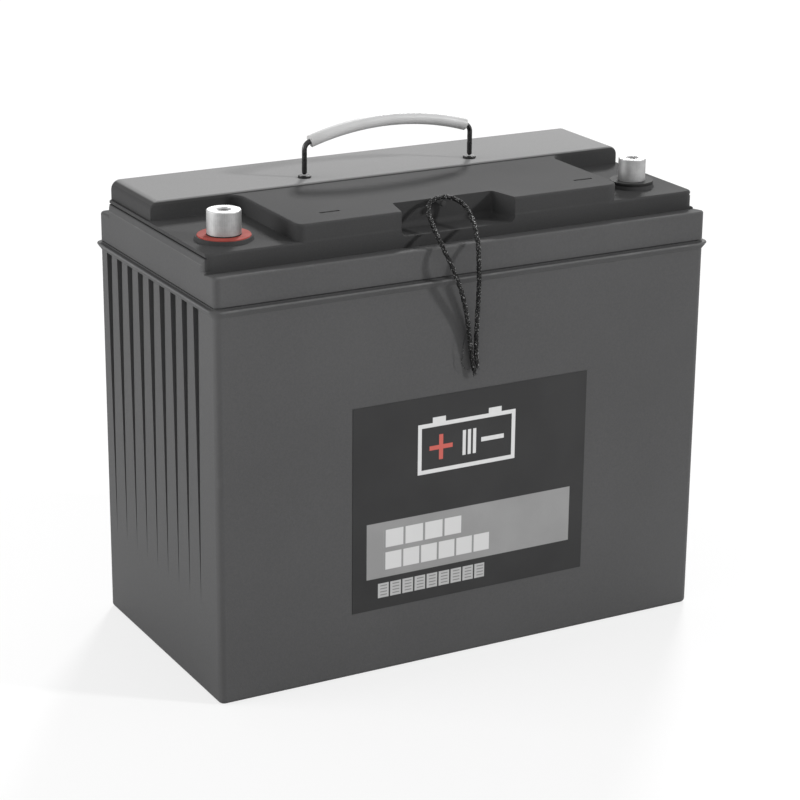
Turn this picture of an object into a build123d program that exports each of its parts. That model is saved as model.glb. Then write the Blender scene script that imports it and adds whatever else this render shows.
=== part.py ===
from build123d import *

import os
from math import acos, asin, atan2, cos, degrees, pi, radians, sin, sqrt, tan

# Sealed twelve-volt deep cycle battery: moulded case, six cells, two threaded posts, a cord handle.
# Millimetres. X runs along the length, -Y is the labelled front, +Z is up.
# The origin is the middle of the underside of the case.

# ---- case outline
CASE_LENGTH = 335.0
CASE_DEPTH = 170.0
CASE_CORNER_R = 4.0
CASE_BOTTOM_R = 2.5
JAR_HEIGHT = 245.0

# ---- jar walls
SIDE_WALL = 3.5
END_WALL = 6.0
JAR_FLOOR = 5.0
CELL_COUNT = 6
PARTITION = 2.2

# ---- flared lip round the mouth of the jar
LIP_OUT = 3.5
LIP_HEIGHT = 4.8
LIP_DROP = 0.6
LIP_ROUND = 0.7

# ---- tapered flutes in the end walls
FLUTE_COUNT = 9
FLUTE_PITCH = 16.1
FLUTE_WIDTH = 7.8
FLUTE_DEPTH = 3.0
FLUTE_FOOT_Z = 55.0
FLUTE_BACK_MARGIN = 15.0

# ---- lid, heights above the jar mouth
SKIRT_HEIGHT = 18.6
PLATFORM_RISE = 28.7
PLATEAU_RISE = 39.2
RIDGE_RISE = 40.4
LID_WALL = 3.2
SEAM_HEIGHT = 0.9
SEAM_DEPTH = 1.0
FRONT_LEDGE = 13.8
BACK_LEDGE = 12.3
PLATFORM_CORNER_R = 5.5
EDGE_ROUND = 1.5
END_SLOPE_IN = 1.6
END_SLOPE_LOW = 22.0
END_SLOPE_HIGH = 25.7
GUTTER_DEPTH = 1.6
CREASE_HEIGHT = 0.9
CREASE_DEPTH = 1.2
LEFT_POCKET = 59.2
RIGHT_POCKET = 55.0
PLATEAU_LEFT_R = 5.0
PLATEAU_RIGHT_R = 9.0
PLATEAU_WEB_R = 10.0
RIDGE_DEPTH = 61.0
RIDGE_END_IN = 3.2
RIDGE_END_ROUND = 6.0
RIDGE_FACE_ROUND = 1.1
CHAMBER_CORNER_R = 1.8

# ---- finger notch in the front of the lid
NOTCH_X = -1.6
NOTCH_FRONT_WIDTH = 78.6
NOTCH_BACK_WIDTH = 68.8
NOTCH_DEPTH = 20.2
NOTCH_FLOOR_RISE = 23.9
NOTCH_CORNER_R = 2.0
NOTCH_FLOOR_R = 3.6
PEG_R = 1.8
PEG_LENGTH = 8.0
PEG_TIP_ROUND = 0.6
PEG_X = -5.3
PEG_DROP = 2.0

# ---- moulded dashes on the lid
DASH_LENGTH = 13.0
DASH_WIDTH = 2.2
DASH_DEPTH = 0.6
DASH_XS = (-78.1, 97.3)
DASH_FROM_FRONT = 18.2

# ---- vent cover and relief valves
COVER_THICK = 2.6
COVER_GAP = 0.25
CHAMBER_FLOOR = 2.7
NECK_R = 7.0
NECK_BORE_R = 2.6
NECK_HEIGHT = 10.0
CAP_WALL = 1.6
CAP_LENGTH = 8.5
CAP_FIT = 0.04
HOLD_DOWN_R = 5.0
HOLD_DOWN_GAP = 0.9

# ---- terminals
POSITIVE_FROM_END = 25.6
NEGATIVE_FROM_END = 28.2
TERMINAL_FROM_FRONT = 41.8
POSITIVE_HEAD_R = 10.15
NEGATIVE_HEAD_R = 8.55
HEAD_HEIGHT = 14.0
STEM_R = 6.5
STEM_FIT = 0.05
THREAD_R = 3.4
THREAD_DEPTH = 13.0
THREAD_MOUTH = 0.9
HEAD_ROUND = 0.7
BOSS_RISE = 2.2
BOSS_FLARE = 0.8
RING_R = 15.8
RING_ROUND = 0.4
RING_THICK = 1.7
RING_RECESS = 1.0
RING_FIT = 0.1
BOSS_RIM = 0.9
SEAL_THICK = 1.2
BLACK_RING_R = 13.5
BLACK_RING_THICK = 0.8

# ---- handle
HANDLE_MID_X = 2.8
HANDLE_SPAN = 117.0
HANDLE_FROM_RIDGE_FRONT = 13.7
HANDLE_CORD_R = 1.6
GROMMET_COLLAR_R = 4.1
GROMMET_COLLAR_THICK = 1.4
GROMMET_SHANK_R = 2.9
GROMMET_FLANGE_R = 3.8
GROMMET_FLANGE_THICK = 1.0
GROMMET_BORE_FIT = 0.06
GROMMET_SEAT_FIT = 0.04
PIVOT_GAP = 0.3
HANDLE_CROWN_RISE = 27.2
GRIP_ARCH_R = 182.0
GRIP_HALF_LENGTH = 54.6
GRIP_R = 3.8
GRIP_BORE_FIT = 0.1
HANDLE_BEND_R = 5.0
STOP_R = 3.4
STOP_HEIGHT = 5.0
STOP_CHAMFER = 0.4
STOP_FLOOR_GAP = 0.8

# ---- cell groups
POSITIVE_PLATES = 7
POSITIVE_THICK = 3.0
NEGATIVE_THICK = 2.1
PLATE_SIDE_GAP = 3.5
PLATE_HEADROOM = 38.0
STACK_CLEARANCE = 0.6
LUG_WIDTH = 13.0
LUG_HEIGHT = 9.0
STRAP_WIDTH = 17.0
STRAP_HEIGHT = 9.0
STRAP_END_GAP = 1.0
LINK_R = 3.8
LINK_FIT = 0.05

# ---- sealant in the joint between jar and lid
SEALANT_WIDTH = 1.4
SEALANT_HEIGHT = 1.0
SEALANT_FIT = 0.05

# ---- label
LABEL_LENGTH = 163.0
LABEL_HEIGHT = 131.0
LABEL_THICK = 0.3
LABEL_X = 1.8
LABEL_FOOT_Z = 41.3

# ---- braided cord hung over the peg
BRAID_R = 1.4
BRAID_BEND_SHARE = 0.45
BRAID_ROUTE = [
    (0.9, -87.8, 184.6),
    (-0.4, -87.8, 191.6),
    (-2.2, -88.2, 201.1),
    (-4.1, -89.0, 212.7),
    (-6.9, -90.6, 223.4),
    (-10.8, -92.7, 235.0),
    (-15.2, -94.1, 245.4),
    (-20.7, -94.4, 256.8),
    (-23.8, -91.2, 265.4),
    (-22.9, -80.8, 271.8),
    (-19.6, -69.4, 275.6),
    (-17.6, -60.6, 280.0),
    (-12.9, -57.0, 284.9),
    (-4.4, -56.5, 286.2),
    (3.8, -57.6, 284.0),
    (7.8, -62.6, 280.0),
    (7.2, -69.8, 276.2),
    (4.6, -78.2, 273.4),
    (1.2, -87.0, 270.0),
    (-1.6, -94.4, 263.6),
    (-2.5, -96.6, 254.5),
    (-1.7, -96.1, 244.5),
    (-0.4, -93.5, 232.6),
    (0.5, -91.0, 220.3),
    (1.2, -89.2, 208.0),
    (1.6, -88.3, 197.8),
    (2.7, -88.1, 188.0),
]

# ---- places worked out from the sizes above
HALF_LENGTH = CASE_LENGTH / 2
HALF_DEPTH = CASE_DEPTH / 2
LEDGE_Z = JAR_HEIGHT + SKIRT_HEIGHT
PLATFORM_Z = JAR_HEIGHT + PLATFORM_RISE
PLATEAU_Z = JAR_HEIGHT + PLATEAU_RISE
RIDGE_Z = JAR_HEIGHT + RIDGE_RISE
COVER_UNDER_Z = RIDGE_Z - COVER_THICK
BLOCK_FRONT_Y = -HALF_DEPTH + FRONT_LEDGE
BLOCK_BACK_Y = HALF_DEPTH - BACK_LEDGE
RIDGE_FRONT_Y = BLOCK_BACK_Y - RIDGE_DEPTH
RIDGE_MID_Y = (RIDGE_FRONT_Y + BLOCK_BACK_Y) / 2
PLATFORM_END_X = HALF_LENGTH - END_SLOPE_IN
RIDGE_END_X = HALF_LENGTH - RIDGE_END_IN
PLATEAU_LOW_X = -HALF_LENGTH + LEFT_POCKET
PLATEAU_HIGH_X = HALF_LENGTH - RIGHT_POCKET
CHAMBER_FLOOR_Z = LEDGE_Z + CHAMBER_FLOOR
CELL_LENGTH = (CASE_LENGTH - 2 * END_WALL - (CELL_COUNT - 1) * PARTITION) / CELL_COUNT
CELL_PITCH = CELL_LENGTH + PARTITION
CELL_DEPTH = CASE_DEPTH - 2 * SIDE_WALL
CELL_XS = [(i - (CELL_COUNT - 1) / 2) * CELL_PITCH for i in range(CELL_COUNT)]
TERMINAL_Y = -HALF_DEPTH + TERMINAL_FROM_FRONT
TERMINAL_XS = {-1: -HALF_LENGTH + POSITIVE_FROM_END, 1: HALF_LENGTH - NEGATIVE_FROM_END}
PLATE_HEIGHT = JAR_HEIGHT - JAR_FLOOR - PLATE_HEADROOM
BOSS_TOP_Z = PLATFORM_Z + BOSS_RISE
HANDLE_Y = RIDGE_FRONT_Y + HANDLE_FROM_RIDGE_FRONT
HANDLE_REACH = HANDLE_SPAN / 2
HANDLE_XS = (HANDLE_MID_X - HANDLE_REACH, HANDLE_MID_X + HANDLE_REACH)
PIVOT_Z = RIDGE_Z + GROMMET_COLLAR_THICK + PIVOT_GAP + HANDLE_CORD_R
CROWN_Z = PIVOT_Z + HANDLE_CROWN_RISE
STRAP_Z = JAR_FLOOR + PLATE_HEIGHT + LUG_HEIGHT
BELOW = 2.0  # how far a cutting tool runs past the face it enters


def block(x0, x1, y0, y1, z0, z1):
    """A rectangular block between two corners."""
    middle = Pos((x0 + x1) / 2, (y0 + y1) / 2, (z0 + z1) / 2)
    return middle * Box(x1 - x0, y1 - y0, z1 - z0)


def rounded_block(length, depth, radius, z0, z1, y_mid=0.0):
    """An upright block with rounded vertical corners, centred on X = 0."""
    outline = Pos(0, y_mid, z0) * RectangleRounded(length, depth, radius)
    return extrude(outline, amount=z1 - z0)


def upright(radius, z0, z1, x=0.0, y=0.0):
    """A vertical cylinder from z0 to z1."""
    return Pos(x, y, (z0 + z1) / 2) * Cylinder(radius, z1 - z0)


def tube(outer, inner, z0, z1, x=0.0, y=0.0):
    """A vertical round washer or tube."""
    return upright(outer, z0, z1, x, y) - upright(inner, z0 - BELOW, z1 + BELOW, x, y)


def solids_of(shapes):
    """Separate solids kept together in one node."""
    return Compound(children=[s for shape in shapes for s in shape.solids()])


def end_flute(side, y):
    """Cutting tool of one flute: widest and deepest under the lip, fading to a point at its foot."""
    top_z = JAR_HEIGHT - LIP_DROP - LIP_HEIGHT
    outside = HALF_LENGTH + 1.0
    inside = HALF_LENGTH - FLUTE_DEPTH
    mouth = Pos(side * (outside + inside) / 2, y, top_z) * Rectangle(outside - inside, FLUTE_WIDTH)
    return loft([mouth.face(), Vertex(side * HALF_LENGTH, y, FLUTE_FOOT_Z)])


def make_jar():
    """Open-topped case with five partitions, a flared lip round its mouth and flutes in both ends."""
    body = rounded_block(CASE_LENGTH, CASE_DEPTH, CASE_CORNER_R, 0, JAR_HEIGHT)
    body = fillet(body.edges().group_by(Axis.Z)[0], CASE_BOTTOM_R)
    lip_length = CASE_LENGTH + 2 * LIP_OUT
    lip_outline = RectangleRounded(lip_length, CASE_DEPTH + 2 * LIP_OUT, CASE_CORNER_R + LIP_OUT)
    flare = degrees(atan2(LIP_OUT, LIP_HEIGHT))
    lip = extrude(Pos(0, 0, JAR_HEIGHT - LIP_DROP) * lip_outline, amount=-LIP_HEIGHT, taper=flare)
    body += fillet(lip.edges().group_by(Axis.Z)[-1], LIP_ROUND)
    for x in CELL_XS:
        half = CELL_LENGTH / 2
        body -= block(x - half, x + half, -CELL_DEPTH / 2, CELL_DEPTH / 2, JAR_FLOOR, JAR_HEIGHT + BELOW)
    for i in range(FLUTE_COUNT):
        y = HALF_DEPTH - FLUTE_BACK_MARGIN - i * FLUTE_PITCH
        for side in (-1, 1):
            body -= end_flute(side, y)
    for i, y in link_places():
        middle = (CELL_XS[i] + CELL_XS[i + 1]) / 2
        hole = Rot(0, 90, 0) * Cylinder(LINK_R + LINK_FIT, PARTITION + 2 * BELOW)
        body -= Pos(middle, y, STRAP_Z + STRAP_HEIGHT / 2) * hole
    return body


def link_places():
    """The partitions and sides at which each cell is joined to the next: back and front by turns."""
    return [(i, TERMINAL_Y if i % 2 else -TERMINAL_Y) for i in range(CELL_COUNT - 1)]


def notch_tool(grow=0.0):
    """The finger notch as a solid: wider at the mouth, with rounded corners at the back and floor."""
    front = BLOCK_FRONT_Y - BELOW
    back = BLOCK_FRONT_Y + NOTCH_DEPTH + grow
    half_front = NOTCH_FRONT_WIDTH / 2 + grow
    half_back = NOTCH_BACK_WIDTH / 2 + grow
    floor = JAR_HEIGHT + NOTCH_FLOOR_RISE - grow
    corners = ((-half_front, front), (-half_back, back), (half_back, back), (half_front, front))
    outline = Polyline(*corners, close=True)
    tool = extrude(Pos(NOTCH_X, 0, floor) * make_face(outline), amount=PLATEAU_Z + BELOW - floor)
    corners = tool.edges().filter_by(Axis.Z).group_by(Axis.Y)[-1]
    tool = fillet(corners, NOTCH_CORNER_R)
    sides = tool.edges().group_by(Axis.Z)[0].sort_by(Axis.Y)[1:]
    return fillet(sides, NOTCH_FLOOR_R)


def end_cut(side):
    """What is taken off each end of the lid: a slope, a fine crease over it and an upright wall."""
    slope_low = JAR_HEIGHT + END_SLOPE_LOW
    slope_high = JAR_HEIGHT + END_SLOPE_HIGH
    far = HALF_LENGTH + BELOW
    profile = Polyline(
        (far, slope_low),
        (HALF_LENGTH, slope_low),
        (PLATFORM_END_X, slope_high),
        (PLATFORM_END_X - CREASE_DEPTH, slope_high),
        (PLATFORM_END_X - CREASE_DEPTH, slope_high + CREASE_HEIGHT),
        (PLATFORM_END_X, slope_high + CREASE_HEIGHT),
        (PLATFORM_END_X, RIDGE_Z + BELOW),
        (far, RIDGE_Z + BELOW),
        close=True,
    )
    prism = extrude(Plane.XZ * make_face(profile), amount=HALF_DEPTH, both=True)
    return prism if side > 0 else mirror(prism, about=Plane.YZ)


def gutter_tool():
    """What is cut from the front ledge: it falls from the edge of the skirt to the foot of the platform."""
    profile = Polyline(
        (-HALF_DEPTH + EDGE_ROUND, LEDGE_Z),
        (BLOCK_FRONT_Y, LEDGE_Z - GUTTER_DEPTH),
        (BLOCK_FRONT_Y, LEDGE_Z + BELOW),
        (-HALF_DEPTH + EDGE_ROUND, LEDGE_Z + BELOW),
        close=True,
    )
    return extrude(Plane.YZ * make_face(profile), amount=HALF_LENGTH + BELOW, both=True)


def make_plateau():
    """The raised front of the lid, rounded at its front corners and flared where it runs into the ridge."""
    back = BLOCK_BACK_Y - LID_WALL
    plateau = block(PLATEAU_LOW_X, PLATEAU_HIGH_X, BLOCK_FRONT_Y, back, LEDGE_Z, PLATEAU_Z)
    corners = plateau.edges().filter_by(Axis.Z).group_by(Axis.Y)[0].sort_by(Axis.X)
    plateau = fillet(corners[:1], PLATEAU_LEFT_R)
    corners = plateau.edges().filter_by(Axis.Z).sort_by(Axis.X)[-2:].sort_by(Axis.Y)
    plateau = fillet(corners[:1], PLATEAU_RIGHT_R)
    for side, x in ((-1, PLATEAU_LOW_X), (1, PLATEAU_HIGH_X)):
        far = x + side * PLATEAU_WEB_R
        near = RIDGE_FRONT_Y - PLATEAU_WEB_R
        web = block(min(x, far), max(x, far), near, back, LEDGE_Z, PLATEAU_Z)
        plateau += web - upright(PLATEAU_WEB_R, LEDGE_Z - BELOW, PLATEAU_Z + BELOW, far, near)
    return fillet(plateau.edges().group_by(Axis.Z)[-1], EDGE_ROUND)


def ridge_form():
    """The whole ridge, vent cover included: rounded over at both ends, with its face edges eased."""
    form = block(-RIDGE_END_X, RIDGE_END_X, RIDGE_FRONT_Y, BLOCK_BACK_Y, LEDGE_Z, RIDGE_Z)
    ends = form.edges().filter_by(Axis.Y).group_by(Axis.Z)[-1]
    form = fillet(ends, RIDGE_END_ROUND)
    faces = form.faces().filter_by(Axis.Y)
    eased = [edge for face in faces for edge in face.edges() if edge.center().Z > LEDGE_Z + BELOW]
    return fillet(eased, RIDGE_FACE_ROUND)


def lid_outside():
    """The outer form of the lid: skirt, platform, front plateau and rear ridge."""
    skirt = rounded_block(CASE_LENGTH, CASE_DEPTH, CASE_CORNER_R, JAR_HEIGHT, LEDGE_Z)
    skirt = fillet(skirt.edges().group_by(Axis.Z)[-1], EDGE_ROUND)
    seam_top = JAR_HEIGHT + SEAM_HEIGHT
    seam = block(-CASE_LENGTH, CASE_LENGTH, -CASE_DEPTH, CASE_DEPTH, JAR_HEIGHT, seam_top)
    seam -= rounded_block(
        CASE_LENGTH - 2 * SEAM_DEPTH,
        CASE_DEPTH - 2 * SEAM_DEPTH,
        CASE_CORNER_R - SEAM_DEPTH,
        JAR_HEIGHT,
        seam_top,
    )
    block_mid = (BLOCK_FRONT_Y + BLOCK_BACK_Y) / 2
    block_depth = BLOCK_BACK_Y - BLOCK_FRONT_Y
    platform_foot = LEDGE_Z - LID_WALL
    platform_r = PLATFORM_CORNER_R
    platform = rounded_block(CASE_LENGTH, block_depth, platform_r, platform_foot, PLATFORM_Z, block_mid)
    platform = fillet(platform.edges().group_by(Axis.Z)[-1], EDGE_ROUND)
    below_cover = block(-CASE_LENGTH, CASE_LENGTH, -CASE_DEPTH, CASE_DEPTH, JAR_HEIGHT, COVER_UNDER_Z)
    ridge = ridge_form() & below_cover
    above_ridge = block(
        -RIDGE_END_X - COVER_GAP,
        RIDGE_END_X + COVER_GAP,
        RIDGE_FRONT_Y - COVER_GAP,
        BLOCK_BACK_Y + COVER_GAP,
        COVER_UNDER_Z,
        RIDGE_Z + BELOW,
    )
    outside = skirt - seam - gutter_tool() + platform
    for side in (-1, 1):
        outside -= end_cut(side)
    return outside + ridge + (make_plateau() - above_ridge)


def clipped(box, low, high):
    """A box's X limits kept between two others, with the rest of its limits as they are."""
    x0, x1, *rest = box
    return [max(x0, low), min(x1, high), *rest]


def lid_hollows():
    """Head space over each cell, higher under the platform and plateau, never through the notch."""
    tools = []
    front = BLOCK_FRONT_Y + LID_WALL
    back = BLOCK_BACK_Y - LID_WALL
    ridge = RIDGE_FRONT_Y - LID_WALL
    end = RIDGE_END_X - LID_WALL
    ledge_under = LEDGE_Z - GUTTER_DEPTH - LID_WALL
    plateau_low = PLATEAU_LOW_X + LID_WALL
    plateau_high = PLATEAU_HIGH_X - LID_WALL
    for x in CELL_XS:
        x0 = x - CELL_LENGTH / 2
        x1 = x + CELL_LENGTH / 2
        low = block(x0, x1, -CELL_DEPTH / 2, CELL_DEPTH / 2, JAR_HEIGHT - BELOW, ledge_under)
        rear = block(*clipped([x0, x1, front, back, JAR_HEIGHT, CHAMBER_FLOOR_Z - CHAMBER_FLOOR], -end, end))
        high = block(*clipped([x0, x1, front, ridge, JAR_HEIGHT, PLATFORM_Z - LID_WALL], -end, end))
        head_space = [x0, x1, front, ridge, JAR_HEIGHT, PLATEAU_Z - LID_WALL]
        under_plateau = clipped(head_space, plateau_low, plateau_high)
        if under_plateau[1] - under_plateau[0] > CELL_LENGTH / 2:
            high += block(*under_plateau)
        tools.append(low + rear + (high - notch_tool(LID_WALL)))
    return tools


def make_lid():
    """The lid with its notch and peg, terminal bosses, vent chamber and the six valve necks."""
    lid = lid_outside()
    for tool in lid_hollows():
        lid -= tool
    lid -= notch_tool()
    wall_y = BLOCK_FRONT_Y + NOTCH_DEPTH
    peg_z = PLATEAU_Z - PEG_DROP
    peg = Rot(90, 0, 0) * Cylinder(PEG_R, PEG_LENGTH + BELOW)
    peg = fillet(peg.edges().sort_by(Axis.Y)[:1], PEG_TIP_ROUND)
    lid += Pos(PEG_X, wall_y - PEG_LENGTH / 2 + BELOW / 2, peg_z) * peg
    lid -= rounded_block(
        2 * (RIDGE_END_X - LID_WALL),
        RIDGE_DEPTH - 2 * LID_WALL,
        CHAMBER_CORNER_R,
        CHAMBER_FLOOR_Z,
        RIDGE_Z + BELOW,
        RIDGE_MID_Y,
    )
    for x in CELL_XS:
        lid += upright(NECK_R, CHAMBER_FLOOR_Z - BELOW, CHAMBER_FLOOR_Z + NECK_HEIGHT, x, RIDGE_MID_Y)
        lid -= upright(NECK_BORE_R, JAR_HEIGHT, RIDGE_Z, x, RIDGE_MID_Y)
    for side in (-1, 1):
        x = TERMINAL_XS[side]
        top_r = RING_R + BOSS_RIM if side < 0 else BLACK_RING_R
        boss = Cone(top_r + BOSS_FLARE, top_r, BOSS_RISE)
        lid += Pos(x, TERMINAL_Y, PLATFORM_Z + BOSS_RISE / 2) * boss
        lid -= upright(STEM_R + STEM_FIT, JAR_HEIGHT, RIDGE_Z, x, TERMINAL_Y)
    for x in DASH_XS:
        lid -= block(
            x - DASH_LENGTH / 2,
            x + DASH_LENGTH / 2,
            BLOCK_FRONT_Y + DASH_FROM_FRONT,
            BLOCK_FRONT_Y + DASH_FROM_FRONT + DASH_WIDTH,
            PLATEAU_Z - DASH_DEPTH,
            PLATEAU_Z + BELOW,
        )
    ring_seat = upright(RING_R + RING_FIT, BOSS_TOP_Z - RING_RECESS, RIDGE_Z, TERMINAL_XS[-1], TERMINAL_Y)
    return lid - ring_seat - sealant_ring(SEALANT_FIT)


def sealant_ring(fit=0.0):
    """The bead of sealant along the middle of the jar's rim, or its groove when a fit is given."""
    length = CASE_LENGTH - END_WALL
    depth = CASE_DEPTH - SIDE_WALL
    half = SEALANT_WIDTH / 2 + fit
    top = JAR_HEIGHT + SEALANT_HEIGHT + fit
    low = JAR_HEIGHT if not fit else JAR_HEIGHT - BELOW
    outer = rounded_block(length + 2 * half, depth + 2 * half, CASE_CORNER_R - SEAM_DEPTH, low, top)
    inner_r = CASE_CORNER_R - SEAM_DEPTH - 2 * half
    return outer - rounded_block(length - 2 * half, depth - 2 * half, inner_r, low, top)


def make_vent_cover():
    """The long cover over the valves, with a hold-down boss over each and two holes for grommets."""
    cover = ridge_form() & block(-CASE_LENGTH, CASE_LENGTH, -CASE_DEPTH, CASE_DEPTH, COVER_UNDER_Z, RIDGE_Z)
    cap_top = CHAMBER_FLOOR_Z + NECK_HEIGHT + CAP_WALL
    boss_root = COVER_UNDER_Z + COVER_THICK / 2
    for x in CELL_XS:
        cover += upright(HOLD_DOWN_R, cap_top + HOLD_DOWN_GAP, boss_root, x, RIDGE_MID_Y)
    for x in HANDLE_XS:
        hole_r = GROMMET_SHANK_R + GROMMET_SEAT_FIT
        cover -= upright(hole_r, COVER_UNDER_Z - BELOW, RIDGE_Z + BELOW, x, HANDLE_Y)
    return cover


def make_valve_caps():
    """Six rubber caps, each pulled over its neck like a thimble."""
    top = CHAMBER_FLOOR_Z + NECK_HEIGHT + CAP_WALL
    caps = []
    for x in CELL_XS:
        cap = upright(NECK_R + CAP_WALL, top - CAP_LENGTH, top, x, RIDGE_MID_Y)
        cap = fillet(cap.edges().group_by(Axis.Z)[-1], CAP_WALL / 2)
        caps.append(cap - upright(NECK_R + CAP_FIT, top - CAP_LENGTH - BELOW, top - CAP_WALL, x, RIDGE_MID_Y))
    return solids_of(caps)


def make_terminal(side):
    """A lead post with a round head, an M8 hole in it and a stem down to the strap of its end cell."""
    x = TERMINAL_XS[side]
    radius = POSITIVE_HEAD_R if side < 0 else NEGATIVE_HEAD_R
    foot = head_foot(side)
    top = foot + HEAD_HEIGHT
    head = upright(radius, foot, top, x, TERMINAL_Y)
    head = fillet(head.edges().group_by(Axis.Z)[-1], HEAD_ROUND)
    post = head + upright(STEM_R, STRAP_Z + STRAP_HEIGHT, foot + BELOW, x, TERMINAL_Y)
    post -= upright(THREAD_R, top - THREAD_DEPTH, top + BELOW, x, TERMINAL_Y)
    mouth = Cone(THREAD_R, THREAD_R + THREAD_MOUTH, THREAD_MOUTH)
    return post - Pos(x, TERMINAL_Y, top - THREAD_MOUTH / 2) * mouth


def head_foot(side):
    """Height of the underside of a terminal's head, on top of its stack of rings."""
    if side < 0:
        return BOSS_TOP_Z - RING_RECESS + RING_THICK + SEAL_THICK / 2
    return BOSS_TOP_Z + SEAL_THICK + BLACK_RING_THICK


def make_terminal_rings():
    """The rings under the two heads, by node name."""
    left = TERMINAL_XS[-1]
    right = TERMINAL_XS[1]
    inner = STEM_R + STEM_FIT
    seat = BOSS_TOP_Z - RING_RECESS
    seal_r = POSITIVE_HEAD_R + RING_FIT
    black_z = BOSS_TOP_Z + SEAL_THICK
    ring = tube(RING_R, seal_r + RING_FIT, seat, seat + RING_THICK, left, TERMINAL_Y)
    ring = fillet(ring.edges().group_by(Axis.Z)[-1].sort_by(SortBy.LENGTH)[-1:], RING_ROUND)
    return {
        "positive_ring": ring,
        "positive_seal": tube(seal_r, inner, seat, head_foot(-1), left, TERMINAL_Y),
        "negative_seal": tube(BLACK_RING_R - RING_FIT, inner, BOSS_TOP_Z, black_z, right, TERMINAL_Y),
        "negative_ring": tube(BLACK_RING_R, inner, black_z, black_z + BLACK_RING_THICK, right, TERMINAL_Y),
    }


def make_grommets():
    """Two soft bushes snapped into the vent cover, one round each end of the handle cord."""
    bore = HANDLE_CORD_R + GROMMET_BORE_FIT
    bushes = []
    for x in HANDLE_XS:
        collar = upright(GROMMET_COLLAR_R, RIDGE_Z, RIDGE_Z + GROMMET_COLLAR_THICK, x, HANDLE_Y)
        collar = fillet(collar.edges().group_by(Axis.Z)[-1], GROMMET_COLLAR_THICK / 2)
        shank = upright(GROMMET_SHANK_R, COVER_UNDER_Z, RIDGE_Z, x, HANDLE_Y)
        flange_z = COVER_UNDER_Z - GROMMET_FLANGE_THICK
        flange = upright(GROMMET_FLANGE_R, flange_z, COVER_UNDER_Z, x, HANDLE_Y)
        whole = collar + shank + flange
        bushes.append(whole - upright(bore, flange_z - BELOW, RIDGE_Z + 2 * BELOW, x, HANDLE_Y))
    return solids_of(bushes)


def stop_foot():
    """Height of the underside of the stops crimped on the ends of the handle cord."""
    return CHAMBER_FLOOR_Z + STOP_FLOOR_GAP


def make_cord_tails():
    """The two ends of the handle cord, from the stops up through the grommets."""
    top = RIDGE_Z + GROMMET_COLLAR_THICK
    return solids_of([upright(HANDLE_CORD_R, stop_foot(), top, x, HANDLE_Y) for x in HANDLE_XS])


def make_cord_stops():
    """Ferrules crimped on the cord's ends, too wide to pull through the grommets."""
    foot = stop_foot()
    stops = []
    for x in HANDLE_XS:
        stop = upright(STOP_R, foot, foot + STOP_HEIGHT, x, HANDLE_Y)
        stop = chamfer(stop.edges(), STOP_CHAMFER)
        stops.append(stop - upright(HANDLE_CORD_R, foot - BELOW, foot + STOP_HEIGHT + BELOW, x, HANDLE_Y))
    return solids_of(stops)


def make_handle_cord():
    """The cord above the lid: two upright legs, a bend at each end and the arch inside the grip."""
    arch_mid = CROWN_Z - GRIP_ARCH_R
    reach = GRIP_ARCH_R - HANDLE_BEND_R
    bend_x = HANDLE_REACH - HANDLE_BEND_R
    bend_z = arch_mid + sqrt(reach**2 - bend_x**2)
    share = GRIP_ARCH_R / reach
    join = (bend_x * share, arch_mid + (bend_z - arch_mid) * share)
    half_turn = radians((180 + degrees(acos(bend_x / reach))) / 2)
    mid_left = (-bend_x + HANDLE_BEND_R * cos(half_turn), bend_z + HANDLE_BEND_R * sin(half_turn))
    plane = Plane(origin=(HANDLE_MID_X, HANDLE_Y, 0), x_dir=(1, 0, 0), z_dir=(0, -1, 0))
    route = Line((-HANDLE_REACH, PIVOT_Z), (-HANDLE_REACH, bend_z))
    route += ThreePointArc((-HANDLE_REACH, bend_z), mid_left, (-join[0], join[1]))
    route += ThreePointArc((-join[0], join[1]), (0, CROWN_Z), join)
    route += ThreePointArc(join, (-mid_left[0], mid_left[1]), (HANDLE_REACH, bend_z))
    route += Line((HANDLE_REACH, bend_z), (HANDLE_REACH, PIVOT_Z))
    start = Pos(HANDLE_XS[0], HANDLE_Y, PIVOT_Z) * Circle(HANDLE_CORD_R)
    cord = sweep(start, path=plane * route)
    for x in HANDLE_XS:
        cord += Pos(x, HANDLE_Y, PIVOT_Z) * Sphere(HANDLE_CORD_R)
    return cord


def make_handle_grip():
    """The arched tube that the hand holds, threaded on the cord."""
    arch_mid = CROWN_Z - GRIP_ARCH_R
    half = degrees(asin(GRIP_HALF_LENGTH / GRIP_ARCH_R))
    axis = Axis((HANDLE_MID_X, HANDLE_Y, arch_mid), (0, 1, 0))
    ring = Circle(GRIP_R) - Circle(HANDLE_CORD_R + GRIP_BORE_FIT)
    crown = Plane(origin=(HANDLE_MID_X, HANDLE_Y, CROWN_Z), x_dir=(0, 1, 0), z_dir=(1, 0, 0))
    first = Rot(0, -half, 0)
    section = Pos(HANDLE_MID_X, 0, arch_mid) * first * Pos(-HANDLE_MID_X, 0, -arch_mid) * (crown * ring)
    return revolve(section, axis, revolution_arc=2 * half)


def separator_thickness():
    """What is left of the cell for each sheet of glass mat, two to a positive plate."""
    negatives = POSITIVE_PLATES + 1
    plates = POSITIVE_PLATES * POSITIVE_THICK + negatives * NEGATIVE_THICK
    return (CELL_LENGTH - STACK_CLEARANCE - plates) / (2 * POSITIVE_PLATES)


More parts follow.
